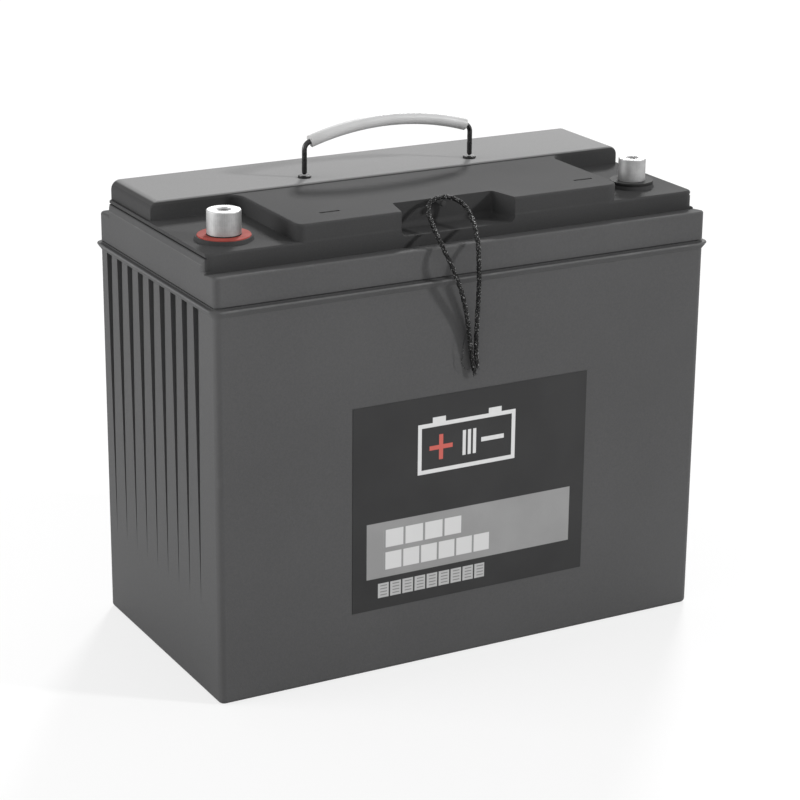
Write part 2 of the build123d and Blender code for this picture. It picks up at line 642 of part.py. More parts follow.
def make_cell(index):
    """Plates, mats and straps of one cell: the positive side is at the front and back by turns."""
    x_mid = CELL_XS[index]
    positive_side = TERMINAL_Y if index % 2 == 0 else -TERMINAL_Y
    mat = separator_thickness()
    half_width = CELL_DEPTH / 2 - PLATE_SIDE_GAP
    x = x_mid - (CELL_LENGTH - STACK_CLEARANCE) / 2
    plate_top = JAR_FLOOR + PLATE_HEIGHT
    positives = []
    negatives = []
    mats = []
    for i in range(2 * POSITIVE_PLATES + 1):
        negative = i % 2 == 0
        thick = NEGATIVE_THICK if negative else POSITIVE_THICK
        side = -positive_side if negative else positive_side
        foot = JAR_FLOOR if negative else JAR_FLOOR + mat
        lug = block(x, x + thick, side - LUG_WIDTH / 2, side + LUG_WIDTH / 2, plate_top - BELOW, STRAP_Z)
        plate = block(x, x + thick, -half_width, half_width, foot, plate_top) + lug
        (negatives if negative else positives).append(plate)
        if not negative:
            wrap = block(x - mat, x + thick + mat, -half_width, half_width, JAR_FLOOR, plate_top)
            mats.append(wrap - block(x, x + thick, -half_width - 1, half_width + 1, foot, plate_top + 1))
        x += thick + mat
    half = CELL_LENGTH / 2 - STRAP_END_GAP
    strap_ys = (TERMINAL_Y, -TERMINAL_Y)
    straps = [Pos(x_mid, y, STRAP_Z + STRAP_HEIGHT / 2) * Box(2 * half, STRAP_WIDTH, STRAP_HEIGHT) for y in strap_ys]
    return {
        "positive_plates": solids_of(positives),
        "negative_plates": solids_of(negatives),
        "glass_mats": solids_of(mats),
        "straps": solids_of(straps),
    }


def make_links():
    """Short lead links through the partitions, from the strap of one cell to the strap of the next."""
    length = PARTITION + 2 * STRAP_END_GAP
    links = []
    for i, y in link_places():
        middle = (CELL_XS[i] + CELL_XS[i + 1]) / 2
        links.append(Pos(middle, y, STRAP_Z + STRAP_HEIGHT / 2) * Rot(0, 90, 0) * Cylinder(LINK_R, length))
    return solids_of(links)


def make_label():
    """The printed film on the front of the jar."""
    return block(
        LABEL_X - LABEL_LENGTH / 2,
        LABEL_X + LABEL_LENGTH / 2,
        -HALF_DEPTH - LABEL_THICK,
        -HALF_DEPTH,
        LABEL_FOOT_Z,
        LABEL_FOOT_Z + LABEL_HEIGHT,
    )


def make_braided_cord():
    """The limp cord doubled over the peg, its two bare ends side by side on the front of the jar."""
    points = [Vector(*p) for p in BRAID_ROUTE]
    runs = [b - a for a, b in zip(points, points[1:])]
    radii = []
    for before, after in zip(runs, runs[1:]):
        shorter = min(before.length, after.length)
        radii.append(BRAID_BEND_SHARE * shorter / tan(radians(before.get_angle(after) / 2)))
    route = FilletPolyline(*points, radius=radii)
    start = Plane(origin=points[0], z_dir=runs[0])
    cord = sweep(start * Circle(BRAID_R), path=route)
    expected = pi * BRAID_R**2 * route.length
    print("braided cord: length", round(route.length, 1), "volume share", round(cord.volume / expected, 4))
    print("braided cord: runs", [round(r.length, 1) for r in runs])
    print("braided cord: bend radii", [round(r, 1) for r in radii])
    return cord


def make_parts():
    """Every node of the battery by name."""
    parts = {
        "jar": make_jar(),
        "lid": make_lid(),
        "rim_sealant": sealant_ring(),
        "vent_cover": make_vent_cover(),
        "relief_valve_caps": make_valve_caps(),
        "positive_terminal": make_terminal(-1),
        "negative_terminal": make_terminal(1),
        "handle_grommets": make_grommets(),
        "handle_cord_tails": make_cord_tails(),
        "handle_cord_stops": make_cord_stops(),
        "handle_cord": make_handle_cord(),
        "handle_grip": make_handle_grip(),
        "intercell_links": make_links(),
        "front_label": make_label(),
        "braided_cord": make_braided_cord(),
    }
    parts.update(make_terminal_rings())
    for i in range(CELL_COUNT):
        for name, shape in make_cell(i).items():
            parts[f"cell_{i + 1}_{name}"] = shape
    return parts


os.makedirs("parts", exist_ok=True)
for node, shape in make_parts().items():
    export_step(shape, f"parts/{node}.step")
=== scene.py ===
import math

import bpy
import numpy as np
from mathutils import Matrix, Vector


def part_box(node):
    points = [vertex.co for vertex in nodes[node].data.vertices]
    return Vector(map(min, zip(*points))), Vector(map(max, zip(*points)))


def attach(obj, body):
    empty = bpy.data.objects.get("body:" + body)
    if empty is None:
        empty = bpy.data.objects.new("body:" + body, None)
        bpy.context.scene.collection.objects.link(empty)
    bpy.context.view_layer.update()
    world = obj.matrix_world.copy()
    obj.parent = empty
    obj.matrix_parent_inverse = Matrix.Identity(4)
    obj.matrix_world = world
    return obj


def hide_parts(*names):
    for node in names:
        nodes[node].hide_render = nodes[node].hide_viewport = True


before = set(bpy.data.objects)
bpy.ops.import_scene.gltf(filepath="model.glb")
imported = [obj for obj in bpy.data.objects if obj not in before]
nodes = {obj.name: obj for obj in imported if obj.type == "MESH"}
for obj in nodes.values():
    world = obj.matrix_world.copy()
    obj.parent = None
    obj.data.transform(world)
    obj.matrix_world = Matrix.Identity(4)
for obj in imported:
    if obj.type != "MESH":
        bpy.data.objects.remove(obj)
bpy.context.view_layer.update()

# ---- Camera
# A long lens set above the left front corner of the case, on the label's side. It takes in the
# front, the left end and the top of the lid.
camera_data = bpy.data.cameras.new("camera")
camera_data.sensor_width = 36.0
camera_data.lens = 111.87
camera = bpy.data.objects.new("camera", camera_data)
camera.location = (-0.7217, -1.3067, 0.6496)
camera.rotation_euler = (math.radians(71.149), math.radians(-0.508), math.radians(-28.696))
bpy.context.scene.collection.objects.link(camera)
bpy.context.scene.camera = camera

# ---- Braided cord
# A limp round braid of eight black polyester strands, 2.8 mm thick, doubled over the peg in the
# finger notch. Both ends hang down the front of the case, cut off and a little frayed.
BRAID_STRANDS = 4
BRAID_LEAD = 0.0112
STRAND_RADIUS = 0.00052
BRAID_RADIUS = 0.00086
BRAID_WEAVE = 0.00022
cord_route = [
    (0.0009, -0.0878, 0.1846),
    (-0.0004, -0.0878, 0.1916),
    (-0.0022, -0.0882, 0.2011),
    (-0.0041, -0.0890, 0.2127),
    (-0.0069, -0.0906, 0.2234),
    (-0.0108, -0.0927, 0.2350),
    (-0.0152, -0.0941, 0.2454),
    (-0.0207, -0.0944, 0.2568),
    (-0.0238, -0.0912, 0.2654),
    (-0.0229, -0.0808, 0.2718),
    (-0.0196, -0.0694, 0.2756),
    (-0.0176, -0.0606, 0.2800),
    (-0.0129, -0.0570, 0.2849),
    (-0.0044, -0.0565, 0.2862),
    (0.0038, -0.0576, 0.2840),
    (0.0078, -0.0626, 0.2800),
    (0.0072, -0.0698, 0.2762),
    (0.0046, -0.0782, 0.2734),
    (0.0012, -0.0870, 0.2700),
    (-0.0016, -0.0944, 0.2636),
    (-0.0025, -0.0966, 0.2545),
    (-0.0017, -0.0961, 0.2445),
    (-0.0004, -0.0935, 0.2326),
    (0.0005, -0.0910, 0.2203),
    (0.0012, -0.0892, 0.2080),
    (0.0016, -0.0883, 0.1978),
    (0.0027, -0.0881, 0.1880),
]


def smooth_line(points, resolution):
    """Points along the NURBS spline of order 3 that has the given control points, as an array."""
    data = bpy.data.curves.new("route", "CURVE")
    data.dimensions = "3D"
    data.resolution_u = resolution
    spline = data.splines.new("NURBS")
    spline.points.add(len(points) - 1)
    spline.points.foreach_set("co", np.column_stack([points, np.ones(len(points))]).ravel())
    spline.order_u = 3
    spline.use_endpoint_u = True
    curve = bpy.data.objects.new("route", data)
    mesh = bpy.data.meshes.new_from_object(curve)
    line = np.zeros(len(mesh.vertices) * 3)
    mesh.vertices.foreach_get("co", line)
    bpy.data.objects.remove(curve)
    bpy.data.meshes.remove(mesh)
    return line.reshape(-1, 3)


def even_line(line, step):
    """The line again, with points an even step apart along its length."""
    gaps = np.linalg.norm(np.diff(line, axis=0), axis=1)
    along = np.concatenate([[0.0], np.cumsum(gaps)])
    places = np.linspace(0.0, along[-1], int(along[-1] / step) + 1)
    return np.column_stack([np.interp(places, along, line[:, i]) for i in range(3)]), places


def frames_along(line, first_side):
    """Unit tangent, side and up vectors at each point: the side vector is carried along without twist."""
    tangents = np.gradient(line, axis=0)
    tangents /= np.linalg.norm(tangents, axis=1)[:, None]
    sides = np.empty_like(line)
    side = np.array(first_side, float)
    for i, tangent in enumerate(tangents):
        side = side - tangent * (side @ tangent)
        side /= np.linalg.norm(side)
        sides[i] = side
    return tangents, sides, np.cross(tangents, sides)


def tube_grid(line, radius, around, first_side):
    """A round tube along a line: each ring is centre + radius * (side * cos(a) + up * sin(a))."""
    tangents, sides, ups = frames_along(line, first_side)
    angle = np.linspace(0.0, 2 * math.pi, around, endpoint=False)
    radius = np.broadcast_to(radius, len(line))[:, None, None]
    ring = np.cos(angle)[None, :, None] * sides[:, None, :] + np.sin(angle)[None, :, None] * ups[:, None, :]
    return line[:, None, :] + radius * ring


def mesh_of_tubes(name, grids):
    """One mesh from several closed-round grids, each capped with a point at both ends."""
    corners = []
    faces = []
    start = 0
    for grid in grids:
        rings, around, _ = grid.shape
        i, j = np.meshgrid(np.arange(rings - 1), np.arange(around), indexing="ij")
        k = (j + 1) % around
        quads = np.stack([i * around + j, i * around + k, (i + 1) * around + k, (i + 1) * around + j], -1)
        faces.extend((quads.reshape(-1, 4) + start).tolist())
        count = rings * around
        turn = np.arange(around)
        after = (turn + 1) % around
        first_cap = np.stack([np.full(around, count), after, turn], -1)
        last = count - around
        last_cap = np.stack([np.full(around, count + 1), last + turn, last + after], -1)
        faces.extend((np.vstack([first_cap, last_cap]) + start).tolist())
        corners.append(np.vstack([grid.reshape(-1, 3), grid[0].mean(0), grid[-1].mean(0)]))
        start += count + 2
    mesh = bpy.data.meshes.new(name)
    mesh.from_pydata(np.vstack(corners).tolist(), [], faces)
    mesh.polygons.foreach_set("use_smooth", np.ones(len(mesh.polygons), bool))
    mesh.update()
    piece = bpy.data.objects.new(name, mesh)
    bpy.context.scene.collection.objects.link(piece)
    return piece


cord_line, cord_along = even_line(smooth_line(cord_route, 24), 0.00042)
_, cord_sides, cord_ups = frames_along(cord_line, (1.0, 0.0, 0.0))


def braid_strand(turn_way, index):
    """One strand: a helix whose radius is radius + weave * cos(strands * turn), so it goes over and under."""
    turn = 2 * math.pi * cord_along / BRAID_LEAD
    angle = turn_way * turn + 2 * math.pi * index / BRAID_STRANDS
    weave = np.cos(BRAID_STRANDS * turn + turn_way * math.pi / 2 + index * math.pi)
    radius = (BRAID_RADIUS + BRAID_WEAVE * turn_way * weave)[:, None]
    return cord_line + radius * (np.cos(angle)[:, None] * cord_sides + np.sin(angle)[:, None] * cord_ups)


strand_grids = [tube_grid(cord_line, BRAID_RADIUS * 0.85, 10, (1.0, 0.0, 0.0))]
for way in (-1, 1):
    for number in range(BRAID_STRANDS):
        strand_grids.append(tube_grid(braid_strand(way, number), STRAND_RADIUS, 7, (1.0, 0.2, 0.1)))
braid = mesh_of_tubes("cord_braid", strand_grids)

# Loose filaments: the cut ends splay, and a pulled thread of two filaments stands off the left leg.
FILAMENT_RADIUS = 0.00011
END_FILAMENTS = 14
rng = np.random.default_rng(7)
filament_grids = []
for end, inward in ((0, 3), (-1, -4)):
    tip = cord_line[end]
    away = cord_line[end] - cord_line[inward]
    away /= np.linalg.norm(away)
    for number in range(END_FILAMENTS):
        turn = 2 * math.pi * number / END_FILAMENTS
        out = np.array([math.cos(turn), 0.35 * math.sin(turn) - 0.2, 0.0])
        reach = rng.uniform(0.0012, 0.0034)
        s = np.linspace(0.0, 1.0, 7)[:, None]
        spread = rng.uniform(0.0003, 0.0011)
        thread = tip + 0.0009 * out * (1 - 0.3 * s) + away * reach * s + out * spread * s**2
        filament_grids.append(tube_grid(thread, FILAMENT_RADIUS, 5, (0.3, 1.0, 0.1)))
pulled_thread = [
    (-0.0048, -0.0893, 0.2120),
    (-0.0073, -0.0892, 0.2076),
    (-0.0078, -0.0886, 0.2005),
    (-0.0066, -0.0882, 0.1955),
    (-0.0086, -0.0879, 0.1925),
    (-0.0070, -0.0877, 0.1880),
    (-0.0042, -0.0877, 0.1862),
    (-0.0012, -0.0879, 0.1868),
]
pulled_line, _ = even_line(smooth_line(pulled_thread, 12), 0.0006)
filament_grids.append(tube_grid(pulled_line, FILAMENT_RADIUS, 5, (0.0, 1.0, 0.0)))
second_line = pulled_line.copy()
second_line[:, 0] += 0.0009 * np.sin(np.linspace(0.0, 3 * math.pi, len(pulled_line)))
filament_grids.append(tube_grid(second_line, FILAMENT_RADIUS, 5, (0.0, 1.0, 0.0)))
fray = mesh_of_tubes("cord_fray", filament_grids)


class Node_value:
    """A socket whose + - * / build Math nodes, with the node tree that it belongs to."""

    def __init__(self, tree, socket):
        self.tree = tree
        self.socket = socket

    def node(self, kind, settings=(), inputs=(), output=0):
        """A node of a type, its settings set first, then its sockets' values or links."""
        made = self.tree.nodes.new(kind)
        for name, value in dict(settings).items():
            setattr(made, name, value)
        for key, value in dict(inputs).items():
            if isinstance(value, Node_value):
                self.tree.links.new(value.socket, made.inputs[key])
            else:
                made.inputs[key].default_value = value
        return Node_value(self.tree, made.outputs[output])

    def math(self, operation, other=0.0):
        """A Math node of an operation on this value and another."""
        return self.node("ShaderNodeMath", {"operation": operation}, {0: self, 1: other})

    def __add__(self, other):
        return self.math("ADD", other)

    __radd__ = __add__

    def __mul__(self, other):
        return self.math("MULTIPLY", other)

    __rmul__ = __mul__

    def __sub__(self, other):
        return self.math("SUBTRACT", other)

    def __rsub__(self, other):
        return self.node("ShaderNodeMath", {"operation": "SUBTRACT"}, {0: other, 1: self})

    def __truediv__(self, other):
        return self.math("DIVIDE", other)

    def step(self, low, high):
        """0 below low, 1 above high, smooth between them; low may be above high."""
        first, last = (low, high) if low < high else (high, low)
        ends = {"From Min": first, "From Max": last}
        ends |= {"To Min": float(low > high), "To Max": float(low < high)}
        return self.node("ShaderNodeMapRange", {"interpolation_type": "SMOOTHSTEP"}, {"Value": self, **ends})

    def mix(self, first, second):
        """A colour between two, by this value."""
        colours = [(*c, 1.0) if isinstance(c, tuple) else c for c in (first, second)]
        return self.node("ShaderNodeMix", {"data_type": "RGBA"}, {0: self, 6: colours[0], 7: colours[1]}, 2)


def material(name, **constants):
    """A new material's Object coordinates, whole and as X, Y and Z, and a function that links its shader.

    The constants are set on the shader's own sockets, an underscore standing for each space.
    """
    made = bpy.data.materials.new(name)
    made.use_nodes = True
    tree = made.node_tree
    shader = tree.nodes["Principled BSDF"]
    for key, value in constants.items():
        shader.inputs[key.replace("_", " ")].default_value = value
    start = Node_value(tree, None)
    place = start.node("ShaderNodeTexCoord", output=3)
    split = start.node("ShaderNodeSeparateXYZ", (), {0: place})
    x, y, z = (Node_value(tree, split.socket.node.outputs[i]) for i in range(3))

    def finish(height=None, distance=0.0001, **links):
        """Links values to the shader's sockets, and a bump of that depth in metres; gives the material."""
        for key, value in links.items():
            tree.links.new(value.socket, shader.inputs[key.replace("_", " ")])
        if height is not None:
            bump = start.node("ShaderNodeBump", (), {"Height": height, "Distance": distance})
            tree.links.new(bump.socket, shader.inputs["Normal"])
        return made

    return place, x, y, z, finish


def noise(place, scale, detail=2.0):
    """Cloudy noise in the piece's own coordinates, with about this many spots to a metre."""
    return place.node("ShaderNodeTexNoise", (), {"Vector": place, "Scale": scale, "Detail": detail})


def give(made, *pieces):
    """Puts a material on every face of the pieces."""
    for piece in pieces:
        piece.data.materials.clear()
        piece.data.materials.append(made)


# Black polyester: matt between the filaments, with a dull shine along each strand, and light speckles painted
# on as painted highlights.
place, x, y, z, finish = material("braid_polyester", Roughness=0.5, Specular_IOR_Level=0.2)
fibre = noise(place, 5200.0, 3.0)
dust = noise(place, 300.0)
painted_glint = noise(place, 1100.0, 1.0).step(0.6, 0.66)
black = (fibre * 0.6 + dust * 0.5).step(0.35, 0.85).mix((0.003, 0.003, 0.003), (0.01, 0.01, 0.01))
polyester = finish(height=fibre, distance=0.00006, Base_Color=painted_glint.mix(black, (0.2, 0.2, 0.2)))
give(polyester, braid, fray)
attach(braid, "case")
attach(fray, "case")
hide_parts("braided_cord")

# ---- Jar, lid and sealant
# Injection-moulded dark grey ABS with a fine spark-eroded grain, the lid glued into the jar's rim.
# The raised middle of the lid is painted darker than its skirt, as painted shade. The edges are painted a
# little lighter, partly as rubbed wear and partly as painted highlight.
_, jar_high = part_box("jar")
_, lid_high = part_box("lid")


def near(value, target, width):
    """1 where a value is at the target, falling to 0 a width away."""
    return (value - target).math("ABSOLUTE").step(width, 0.0)


def moulded(place, edge_wear_and_highlight, dark, light):
    """Grained plastic: cloudy grey, lighter along the masked edges, partly as rubbed wear and partly as painted
    highlight; gives the colour, bump height and roughness.
    """
    cloud = noise(place, 9.0, 4.0)
    speck = noise(place, 900.0, 2.0)
    grain = noise(place, 2300.0, 3.0)
    scuff = noise(place, 60.0, 6.0).step(0.52, 0.75)
    tone = (cloud * 0.7 + speck * 0.45 + grain * 0.2).step(0.35, 1.0)
    wear_and_highlight = edge_wear_and_highlight * (scuff * 0.6 + 0.4)
    colour = wear_and_highlight.mix(tone.mix(dark, light), (0.17, 0.17, 0.17))
    return colour, grain * 0.7 + speck * 0.5, 0.6 + 0.22 * cloud - 0.12 * wear_and_highlight


JAR_DARK = (0.057, 0.057, 0.058)
JAR_LIGHT = (0.074, 0.074, 0.075)
place, x, y, z, finish = material("case_plastic", Specular_IOR_Level=0.25)
side_x = x.math("ABSOLUTE")
side_y = y.math("ABSOLUTE")
LIP_DEPTH = 0.0006
# The bead's outer edge and the upright corners are painted lighter: rubbed wear and painted highlight together.
lip = (side_x - (jar_high.x - LIP_DEPTH)).step(0.0, 0.0005)
lip = lip + (side_y - (jar_high.y - LIP_DEPTH)).step(0.0, 0.0005)
corner = near(side_x, 0.1665, 0.003) * near(side_y, 0.084, 0.003)
edge_wear_and_highlight = (lip * 0.6 + corner * 0.25).math("MINIMUM", 1.0)
colour, height, roughness = moulded(place, edge_wear_and_highlight, JAR_DARK, JAR_LIGHT)
give(finish(height=height, distance=0.00009, Base_Color=colour, Roughness=roughness), nodes["jar"])

# Levels and faces of the lid: its ledge, the platform with the pockets, the plateau over it, and
# the front, back and ends of the raised block.
LEDGE = 0.2636
PLATFORM = 0.2737
PLATEAU = 0.2842
BLOCK_FRONT = -0.0712
BLOCK_BACK = 0.0727
BLOCK_END = 0.1659
DASH_MIDDLES = (-0.0781, 0.0973)
DASH_HALF = 0.0066
DASH_FROM_FRONT = 0.0193
place, x, y, z, finish = material("lid_plastic", Specular_IOR_Level=0.06)
side_x = x.math("ABSOLUTE")
raised = side_x.step(BLOCK_END + 0.0004, BLOCK_END + 0.0001)
raised = raised * y.step(BLOCK_FRONT - 0.0008, BLOCK_FRONT - 0.0002)
raised = raised * y.step(BLOCK_BACK + 0.0008, BLOCK_BACK + 0.0002)
# The skirt's top edge, the block's front edges and the ends' top edges are painted lighter: rubbed wear and
# painted highlight together.
skirt_edge = near(z, LEDGE, 0.0012) * y.math("ABSOLUTE").step(lid_high.y - 0.0024, lid_high.y - 0.0006)
front_edge = near(y, BLOCK_FRONT, 0.0014) * (near(z, PLATFORM, 0.0012) * 0.5 + near(z, PLATEAU, 0.0012))
end_edge = near(z, 0.2670, 0.0006) * side_x.step(0.1668, 0.1674)
edge_wear_and_highlight = (skirt_edge * 0.7 + front_edge * 0.45 + end_edge * 0.5).math("MINIMUM", 1.0)
skirt_grey, height, roughness = moulded(place, edge_wear_and_highlight, (0.071, 0.071, 0.072), (0.089, 0.089, 0.090))
# The raised block's grey is darker than the skirt's: painted shade over the whole block.
block_grey_with_painted_shade, _, _ = moulded(place, edge_wear_and_highlight * 0.45, (0.042, 0.042, 0.0425), (0.053, 0.053, 0.0535))
# The floors of the two dash slots on the plateau are painted light, as painted highlight.
left_dash, right_dash = (near(x, middle, DASH_HALF).step(0.0, 0.05) for middle in DASH_MIDDLES)
dash_highlight = (left_dash + right_dash) * near(y, BLOCK_FRONT + DASH_FROM_FRONT, 0.0012).step(0.0, 0.1)
dash_highlight = dash_highlight * z.step(PLATEAU - 0.0012, PLATEAU - 0.0008) * z.step(PLATEAU - 0.0002, PLATEAU - 0.0004)
block_grey_with_painted_shade = dash_highlight.math("MINIMUM", 1.0).mix(block_grey_with_painted_shade, (0.14, 0.14, 0.14))
colour = raised.mix(skirt_grey, block_grey_with_painted_shade)
give(finish(height=height, distance=0.00009, Base_Color=colour, Roughness=roughness), nodes["lid"])

place, x, y, z, finish = material("epoxy_sealant", Roughness=0.35)
flow = noise(place, 140.0, 3.0)
give(
    finish(height=flow, distance=0.0002, Base_Color=flow.mix((0.012, 0.012, 0.013), (0.03, 0.03, 0.032))),
    nodes["rim_sealant"],
)

# ---- Vent cover
# A long plate moulded in the case's own grey. Its upper face is painted pale as painted light, and its sides
# are painted dark as painted shade.
_, cover_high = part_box("vent_cover")
place, x, y, z, finish = material("cover_plastic", Specular_IOR_Level=0.12)
cloud = noise(place, 8.0, 4.0)
grain = noise(place, 2300.0, 3.0)
speck = noise(place, 900.0)
# The top face is painted pale, as painted light; the sides keep a dark grey, as painted shade.
top = z.step(cover_high.z - 0.0012, cover_high.z - 0.0004)
tone = (cloud * 0.6 + speck * 0.35 + grain * 0.2).step(0.3, 0.95)
cover_painted_lit_top = tone.mix((0.185, 0.185, 0.185), (0.235, 0.235, 0.235))
give(
    finish(
        height=grain * 0.7 + speck * 0.5,
        distance=0.00007,
        Base_Color=top.mix((0.05, 0.05, 0.05), cover_painted_lit_top),
        Roughness=0.6 + 0.2 * cloud,
    ),
    nodes["vent_cover"],
)

# ---- Terminals
# Tinned lead posts turned smooth, each with an M8 hole for the cable bolt, on a stack of rings:
# a red ring and a rubber seal at the left post, a black ring and a rubber seal at the right one.
posts = {}
for name in ("positive_terminal", "negative_terminal"):
    low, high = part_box(name)
    posts[name] = ((low.x + high.x) / 2, (low.y + high.y) / 2), high.z


def turned_metal(name, centre, tint):
    """Metal with fine rings round an upright axis on its top and fine streaks down its side."""
    place, x, y, z, finish = material(name, Metallic=1.0)
    dx = x - centre[0]
    dy = y - centre[1]
    distance = (dx * dx + dy * dy).math("SQRT")
    rings = (distance * 14000.0).math("SINE") * 0.5 + 0.5
    streaks = (dx.math("ARCTAN2", dy) * 46.0 + noise(place, 90.0) * 5.0).math("SINE") * 0.5 + 0.5
    tarnish = noise(place, 160.0, 4.0)
    mark = noise(place, 2600.0, 2.0)
    colour = (tarnish * 0.7 + mark * 0.3).step(0.3, 0.8).mix(tint, tuple(0.72 * c for c in tint))
    return finish(
        height=rings * 0.35 + streaks * 0.2 + mark * 0.8,
        distance=0.00003,
        Base_Color=colour,
        Roughness=0.4 + 0.16 * tarnish + 0.08 * streaks,
    )


for name, (centre, _) in posts.items():
    give(turned_metal("tinned_" + name, centre, (0.4, 0.4, 0.4)), nodes[name])

# The thread: a ridge of triangular section wound down each hole, at the M8 pitch of 1.25 mm.
THREAD_PITCH = 0.00125
THREAD_TURNS = 8
HOLE_RADIUS = 0.0034
THREAD_HEIGHT = 0.00034
THREAD_HALF_WIDTH = 0.00045
THREAD_TOP_GAP = 0.0018


def thread_ridge(name, centre, top):
    """Rings of three points along a helix: two on the wall of the hole and one standing off it."""
    turn = np.linspace(0.0, 2 * math.pi * THREAD_TURNS, THREAD_TURNS * 40)
    height = top - THREAD_TOP_GAP - THREAD_PITCH * turn / (2 * math.pi)
    fade = np.minimum(1.0, np.minimum(turn, turn[-1] - turn) / 1.2)
    offsets = ((0.00002, THREAD_HALF_WIDTH), (-THREAD_HEIGHT, 0.0), (0.00002, -THREAD_HALF_WIDTH))
    rings = []
    for out, up in offsets:
        radius = HOLE_RADIUS + out * fade
        points = (centre[0] + radius * np.cos(turn), centre[1] + radius * np.sin(turn), height + up * fade)
        rings.append(np.stack(points, -1))
    return mesh_of_tubes(name, [np.stack(rings, 1)])


for name, (centre, top) in posts.items():
    thread = thread_ridge(name.replace("terminal", "thread"), centre, top)
    give(nodes[name].data.materials[0], thread)
    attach(thread, "case")

place, x, y, z, finish = material("red_ring_plastic", Specular_IOR_Level=0.12)
cloud = noise(place, 120.0, 3.0)
give(
    finish(
        height=noise(place, 2200.0, 2.0),
        distance=0.00006,
        Base_Color=cloud.step(0.3, 0.75).mix((0.33, 0.066, 0.054), (0.27, 0.05, 0.04)),
        Roughness=0.6 + 0.2 * cloud,
    ),
    nodes["positive_ring"],
)

place, x, y, z, finish = material("black_ring_plastic", Specular_IOR_Level=0.1)
cloud = noise(place, 120.0, 3.0)
_, rim_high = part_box("negative_ring")
# The ring's top face is painted lighter, as a painted lit top.
ring_painted_lit_top = z.step(rim_high.z - 0.0001, rim_high.z)
give(
    finish(
        height=noise(place, 2200.0, 2.0),
        distance=0.00006,
        Base_Color=(cloud * 0.6 + ring_painted_lit_top * 0.4).mix((0.03, 0.03, 0.03), (0.06, 0.06, 0.06)),
        Roughness=0.6 + 0.2 * cloud,
    ),
    nodes["negative_ring"],
)

place, x, y, z, finish = material("seal_rubber", Specular_IOR_Level=0.2)
bloom = noise(place, 220.0, 4.0)
seal_rubber = finish(
    height=noise(place, 1800.0, 3.0),
    distance=0.00008,
    Base_Color=bloom.step(0.4, 0.8).mix((0.008, 0.008, 0.008), (0.022, 0.022, 0.022)),
    Roughness=0.38 + 0.25 * bloom,
)
for name in ("positive_seal", "negative_seal", "relief_valve_caps", "handle_grommets"):
    give(seal_rubber, nodes[name])

# ---- Handle
# A black sheathed cord with a pale grip tube threaded on it. Its ends pass through grommets in the
# vent cover and are held below by crimped stops.
grip_low, grip_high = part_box("handle_grip")
place, x, y, z, finish = material("cord_sheath", Roughness=0.22, Specular_IOR_Level=0.6)
wrinkle = noise(place, 420.0, 3.0)
give(
    finish(
        height=wrinkle,
        distance=0.0002,
        Base_Color=wrinkle.step(0.35, 0.8).mix((0.006, 0.006, 0.006), (0.02, 0.02, 0.02)),
    ),
    nodes["handle_cord"],
    nodes["handle_cord_tails"],
)

place, x, y, z, finish = material("grip_plastic", Specular_IOR_Level=0.3)
cloud = noise(place, 60.0, 3.0)
fine = noise(place, 1500.0, 2.0)
middle = (grip_low.x + grip_high.x) / 2
# The grip is darker towards both ends.
darker_ends = (x - middle).math("ABSOLUTE").step(0.045, 0.0545) * (cloud * 0.8 + 0.2)
give(
    finish(
        height=fine * 0.6 + cloud * 0.4,
        distance=0.00008,
        Base_Color=darker_ends.mix(
            cloud.step(0.3, 0.75).mix((0.56, 0.56, 0.56), (0.5, 0.5, 0.5)), (0.45, 0.45, 0.445)
        ),
        Roughness=0.32 + 0.18 * cloud,
    ),
    nodes["handle_grip"],
)

place, x, y, z, finish = material("stop_aluminium", Metallic=1.0)
crimp = noise(place, 700.0, 3.0)
give(
    finish(
        height=crimp,
        distance=0.00015,
        Base_Color=crimp.mix((0.55, 0.55, 0.56), (0.72, 0.72, 0.73)),
        Roughness=0.35 + 0.2 * crimp,
    ),
    nodes["handle_cord_stops"],
)

# ---- Label
# A thin polyester film printed black, with a grey band, a battery symbol over it and a row of
# small symbols under it. The print is plain shapes, without any words.
label_low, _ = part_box("front_label")
place, x, y, z, finish = material("label_film", Specular_IOR_Level=0.3)
u = (x - label_low.x) * 1000.0
v = (z - label_low.z) * 1000.0


def bar(left, right, low, high, soft=0.12):
    """1 inside a rectangle of the label, in millimetres from its lower left corner."""
    across = u.step(left - soft, left + soft) * u.step(right + soft, right - soft)
    return across * v.step(low - soft, low + soft) * v.step(high + soft, high - soft)


def frame_bar(left, right, low, high, line):
    """The outline of a rectangle, with lines of the given width inside it."""
    return bar(left, right, low, high) - bar(left + line, right - line, low + line, high - line)


# The battery symbol: a case with two posts, a minus bar, three plates and a red plus.
STROKE_LOW, STROKE_HIGH = 96.6, 99.4
PLATES_LOW, PLATES_HIGH = 90.0, 106.0
PLATE_PITCH = 3.6
symbol = frame_bar(44.0, 112.0, 82.0, 114.0, 2.6)
symbol = symbol + bar(54.0, 63.0, 114.0, 117.4) + bar(93.0, 102.0, 114.0, 117.4)
symbol = symbol + bar(88.0, 104.0, STROKE_LOW, STROKE_HIGH)
for number in range(3):
    left = 75.0 + PLATE_PITCH * number
    symbol = symbol + bar(left, left + 2.2, PLATES_LOW, PLATES_HIGH)
plus = bar(52.0, 68.0, STROKE_LOW, STROKE_HIGH) + bar(58.6, 61.4, PLATES_LOW, PLATES_HIGH)
plus = plus.math("MINIMUM", 1.0)

